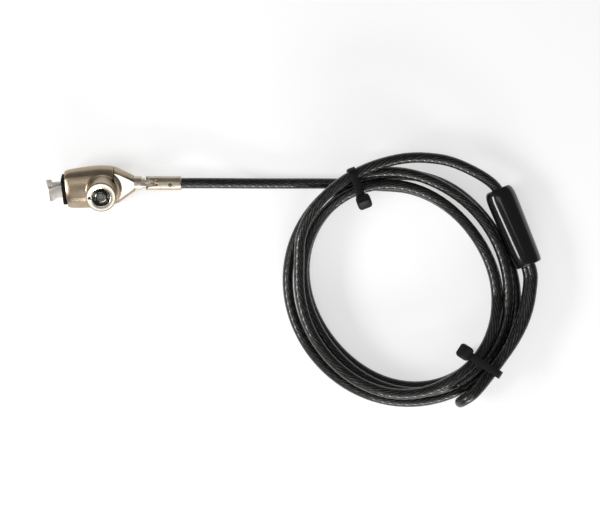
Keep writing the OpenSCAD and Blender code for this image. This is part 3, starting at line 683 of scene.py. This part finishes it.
def rearShell():
    r = shell
    start = r["seam"] + r["seamGap"]
    obj = loftedBody("rear_shell", start, r["length"], 16)
    collar = barrelRod("collar", r["collarRadius"], -2, r["collarTop"])
    cutAway(collar, boxAt("half", (0, -20, -20), (start, 20, 20)))
    joinTo(obj, collar)
    applyModifier(obj, "REMESH", mode="VOXEL", voxel_size=0.16, use_smooth_shade=True)
    applyModifier(obj, "SMOOTH", factor=0.5, iterations=4)
    cutAway(obj, barrelRod("barrelRoom", r["barrelRadius"] + r["barrelGap"],
                           r["barrelFloor"] - 0.1, 20))
    cutAway(obj, scoop())
    return obj


def scoop():
    # the bright flat that falls from the collar towards the outlet
    r = shell
    x = r["lockX"] + r["scoopFrom"]
    tool = boxAt("scoop", (-12, -12, 0), (12, 12, 6))
    tool.data.transform(Matrix.Translation((x, 0, r["scoopTop"]))
                        @ Matrix.Rotation(math.radians(r["scoopSlope"]), 4, "Y"))
    cutAway(tool, barrelRod("scoopBank", r["scoopFrom"], -20, 30))
    return tool


# the outlet's rooms: radius, from and to, along the swivel's axis
outlet = {"recess": (3.15, -1.2, 1), "shank": (2.36, -5, 0), "pocket": (3.6, -9.3, -4.1)}


def cutOutlet(obj):
    for name, (radius, low, high) in outlet.items():
        bpy.ops.mesh.primitive_cylinder_add(vertices=96, radius=radius, depth=high - low,
                                            location=(0, 0, (low + high) / 2))
        tool = newest(name)
        placeIn(tool, outletPlace)
        cutAway(obj, tool)


housing = placeIn(frontShell(), headPlace)
rearCover = placeIn(rearShell(), headPlace)
cutOutlet(rearCover)
for obj, node in ((housing, "head_housing"), (rearCover, "rear_cover")):
    smoothEdges(obj)
    giveMaterial(obj, "shell")
    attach(obj, "head")
    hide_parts(node)


def paintScoopHighlight(obj):
    # the flat is the shell's own metal made paler, a painted highlight, on top of the real lamp's reflection that
    # its flat shading catches
    r = shell
    slope = math.radians(r["scoopSlope"])
    facing = (headPlace.to_3x3() @ Vector((math.sin(slope), 0, math.cos(slope)))).normalized()
    onIt = headPlace @ Vector((r["lockX"] + r["scoopFrom"], 0, r["scoopTop"]))
    obj.data.materials.append(materials["polished"])
    for face in obj.data.polygons:
        if face.normal.dot(facing) > 0.999 and abs((face.center - onIt).dot(facing)) < 0.05 * mm:
            face.material_index = 1
            face.use_smooth = False


paintScoopHighlight(rearCover)
print("shells made,", len(housing.data.polygons), "and", len(rearCover.data.polygons), "faces")


# the lock barrel's face
def turned(name, profile, steps=96):
    # a profile of (radius, height) points, spun round the z axis and closed
    bpy.ops.mesh.primitive_plane_add(size=0.1, location=(profile[0][0], 0, profile[0][1]))
    obj = newest(name)
    applyPlace()
    startEdit(obj)
    bpy.ops.mesh.select_mode(type="VERT")
    bpy.ops.mesh.select_all(action="SELECT")
    bpy.ops.mesh.merge(type="CENTER")
    for a, b in zip(profile, profile[1:]):
        step = (b[0] - a[0], 0, b[1] - a[1])
        bpy.ops.mesh.extrude_region_move(TRANSFORM_OT_translate={"value": step})
    bpy.ops.mesh.select_all(action="SELECT")
    bpy.ops.mesh.spin(steps=steps, angle=2 * math.pi, center=(0, 0, 0), axis=(0, 0, 1))
    bpy.ops.mesh.select_all(action="SELECT")
    bpy.ops.mesh.remove_doubles(threshold=0.0005)
    bpy.ops.mesh.normals_make_consistent(inside=False)
    bpy.ops.mesh.select_mode(type="FACE")
    endEdit()
    return obj


lock = {
    "face": 16.5, "base": 1.6, "flange": 15.3, "floor": 13.0, "ringRadius": 6.6, "cylinder": 5.2,
    "keyway": 4.05, "plugBore": 4.3, "plug": 4.25, "plugBase": 8.05, "post": 2.6, "postTop": 16.2,
    "shank": 1.8, "seat": 1.5, "dish": 1.35, "dishFloor": 1.15, "dishDepth": 0.3,
    "break": 0.1, "edge": 0.35, "flangeEdge": 0.12, "faceEdge": 0.3, "bevel": 0.06,
    "land": 0.6, "notchLow": (-4.9, -0.55), "notchHigh": (-3.0, 0.35), "notchDepth": 0.55,
    "pit": 0.62, "pitAt": (-5.0, 0.15), "pitDepth": 1.6,
    "pins": 7, "pinHole": 0.58, "pinReach": 3.3,
}


def onLock(obj):
    obj.data.transform(Matrix.Translation((shell["lockX"], 0, 0)))
    return placeIn(obj, headPlace)


def keyRing():
    r = lock
    rim, face, way, floor = r["ringRadius"], r["face"], r["keyway"], r["floor"] + r["break"]
    profile = [
        (r["plugBore"], r["base"]), (r["cylinder"], r["base"]), (r["cylinder"], r["flange"]),
        (rim - r["flangeEdge"], r["flange"]), (rim, r["flange"] + r["flangeEdge"]),
        (rim, face - r["edge"]), (rim - r["faceEdge"], face), (rim - r["land"], face),
        (way + r["edge"], face), (way + r["break"], face - r["break"]), (way, face - r["edge"]),
        (way, floor), (r["plugBore"], floor), (r["plugBore"], r["base"])]
    obj = turned("key_ring", profile, 128)
    cutAway(obj, boxAt("notch", (*r["notchLow"], face - r["notchDepth"]),
                       (*r["notchHigh"], face + 1)))
    cutAway(obj, barrelRod("notchPit", r["pit"], face - r["pitDepth"], face + 1,
                           x=r["pitAt"][0], y=r["pitAt"][1], vertices=32))
    applyModifier(obj, "BEVEL", width=r["bevel"], segments=2, limit_method="ANGLE",
                  angle_limit=math.radians(50))
    return onLock(obj)


def dullRim(obj):
    # only the ring's face is buffed: its rim keeps the shell's tone and the pit gets the dark finish as painted
    # shade
    obj.data.materials.append(materials["shell"])
    obj.data.materials.append(materials["dark"])
    rimFrom, pitTo = lock["ringRadius"] - lock["land"], lock["pit"] + 0.02
    for face in obj.data.polygons:
        place = headPlace.inverted() @ face.center - Vector((shell["lockX"], 0, 0))
        if place.xy.length > rimFrom:
            face.material_index = 1
        # painted shade: the pit's faces take the dark finish where the deep recess falls into shade
        if (place.xy - Vector(lock["pitAt"])).length < pitTo and place.z > lock["floor"]:
            face.material_index = 2


def keyPlug():
    r = lock
    seat = r["floor"] - r["seat"]
    profile = [
        (0.0, r["plugBase"]), (r["plug"], r["plugBase"]), (r["plug"], r["floor"] - r["break"]),
        (r["plug"] - r["break"], r["floor"]), (r["shank"], r["floor"]), (r["shank"], seat),
        (0.0, seat)]
    obj = turned("key_plug_disc", profile, 96)
    for i in range(r["pins"]):
        a = math.radians(180 + (i + 0.5) * 360 / r["pins"])
        x, y = r["pinReach"] * math.cos(a), r["pinReach"] * math.sin(a)
        cutAway(obj, barrelRod("pinHole", r["pinHole"], 7, 14, x=x, y=y, vertices=32))
    return onLock(obj)


def centrePost():
    r = lock
    seat, top, wide = r["floor"] - r["seat"], r["postTop"], r["post"]
    profile = [
        (0.0, seat), (r["shank"], seat), (r["shank"], r["floor"]), (wide, r["floor"]),
        (wide, top - 0.5), (wide - 0.12, top - 0.2), (wide - 0.5, top), (r["dish"], top),
        (r["dishFloor"], top - r["dishDepth"]), (0.0, top - r["dishDepth"])]
    return onLock(turned("centre_post", profile, 96))


ring = keyRing()
plug = keyPlug()
post = centrePost()
for obj, node, finish, body, slot in ((ring, "lock_cylinder", "ring", "head", "key_ring"),
                                      (plug, "key_plug", "dark", "plug", "plug_dark"),
                                      (post, "key_post", "dark", "plug", "plug_dark")):
    smoothEdges(obj)
    giveMaterial(obj, finish)
    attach(obj, body)
    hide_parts(node)
dullRim(ring)
print("key ring, plug and post made")

# the loop sleeve: how far it lies to one side, and (along, half width, half height) from end to end
sleeve = {
    "side": -0.6,
    "stations": [(-18.2, 4.9, 4.7), (-18.0, 5.15, 5.3), (-17.4, 5.45, 5.9), (-16.2, 5.75, 6.45),
                 (-14, 5.96, 6.85), (-9, 6.0, 6.77), (0, 6.0, 6.55), (9, 6.0, 6.32),
                 (14.4, 6.0, 6.19), (16.8, 5.9, 6.0), (17.8, 5.7, 5.75), (18.2, 5.35, 5.2)],
}


def loopSleeve():
    # the two strands in it lie one over the other, leaning to one side
    lastW, lastH, lastX = 1, 1, sleeve["stations"][0][0]
    bpy.ops.mesh.primitive_circle_add(vertices=64, radius=1, fill_type="NGON",
                                      location=(lastX, 0, 0),
                                      rotation=(math.pi / 2, 0, math.pi / 2))
    obj = newest("loop_sleeve_skin")
    applyPlace()
    startEdit(obj)
    bpy.ops.mesh.select_all(action="SELECT")
    for x, w, h in sleeve["stations"]:
        if x > lastX:
            bpy.ops.mesh.extrude_region_move(TRANSFORM_OT_translate={"value": (x - lastX, 0, 0)})
        bpy.ops.transform.resize(value=(1, w / lastW, h / lastH), center_override=(x, 0, 0))
        lastW, lastH, lastX = w, h, x
    bpy.ops.mesh.select_all(action="SELECT")
    bpy.ops.mesh.normals_make_consistent(inside=False)
    endEdit()
    applyModifier(obj, "SUBSURF", levels=2, render_levels=2)
    x, y = cable["sleeveMiddle"]
    place = (Matrix.Scale(mm, 4) @ Matrix.Translation((x, y, cable["sleeveZ"]))
             @ Matrix.Rotation(math.radians(cable["sleeveTurn"]), 4, "Z")
             @ Matrix.Rotation(math.radians(90 - cable["strandLean"]), 4, "X")
             @ Matrix.Translation((0, 0, sleeve["side"])))
    return placeIn(obj, place)


sleeveSkin = loopSleeve()
smoothEdges(sleeveSkin, 60)
giveMaterial(sleeveSkin, "sleeve")
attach(sleeveSkin, "cable")
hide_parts("loop_sleeve")
print("loop sleeve made")


# floor and light, in metres; a panel's name, azimuth, elevation, size and brightness
light = {
    "aim": (0.08, -0.03), "far": 0.8, "tent": 0.18, "floorSize": 6, "floorZ": -0.0002,
    "floorGrey": 0.5, "floorGlow": 0.6,
    "panels": [("leftPanel", 195, 36, (0.4, 0.2), 17), ("frontPanel", 280, 19, (0.6, 0.12), 20),
               ("frontSoft", 275, 50.5, (0.6, 0.34), 1.3), ("overhead", 180, 77, (0.16, 0.4), 1.6)],
}


def makeFloor():
    # pale by its own glow to the camera and in reflections, and grey to the light, so shadows stay
    bpy.ops.mesh.primitive_plane_add(size=light["floorSize"],
                                     location=(*light["aim"], light["floorZ"]))
    floor = newest("floor")
    mat, tree, shader = newMaterial("floor_white", (light["floorGrey"],) * 3, 0.7,
                                    Specular_IOR_Level=0.1, Emission_Color=(1, 1, 1, 1))
    path = tree.nodes.new("ShaderNodeLightPath")
    seen = path.outputs["Is Camera Ray"]
    for ray in ("Is Glossy Ray", "Is Transmission Ray"):
        either = addNode(tree, "ShaderNodeMath", operation="MAXIMUM")
        tree.links.new(seen, either.inputs[0])
        tree.links.new(path.outputs[ray], either.inputs[1])
        seen = either.outputs[0]
    glow = addNode(tree, "ShaderNodeMath", operation="MULTIPLY")
    glow.inputs[1].default_value = light["floorGlow"]
    tree.links.new(seen, glow.inputs[0])
    tree.links.new(glow.outputs[0], shader.inputs["Emission Strength"])
    floor.data.materials.append(mat)


def addPanel(name, azimuth, elevation, size, brightness):
    # a panel seen from the object at this azimuth and elevation
    a, e = math.radians(azimuth), math.radians(elevation)
    x, y = light["aim"]
    far = light["far"]
    place = (x + far * math.cos(e) * math.cos(a), y + far * math.cos(e) * math.sin(a),
             far * math.sin(e))
    bpy.ops.object.light_add(type="AREA", location=place)
    lamp = bpy.context.object
    lamp.name = name
    lamp.data.shape = "RECTANGLE"
    lamp.data.size, lamp.data.size_y = size
    lamp.data.energy = brightness * math.pi * size[0] * size[1]
    lamp.rotation_euler = (Vector((x, y, 0)) - Vector(place)).to_track_quat("-Z", "Y").to_euler()


def makeLight():
    # an even tent, and soft panels round it for the reflections
    world = bpy.data.worlds.new("studio")
    world.use_nodes = True
    bpy.context.scene.world = world
    background = world.node_tree.nodes["Background"]
    background.inputs["Color"].default_value = (1, 1, 1, 1)
    background.inputs["Strength"].default_value = light["tent"]
    for panel in light["panels"]:
        addPanel(*panel)


makeFloor()
makeLight()
bpy.context.scene.view_settings.view_transform = "Standard"
print("floor and lights set")
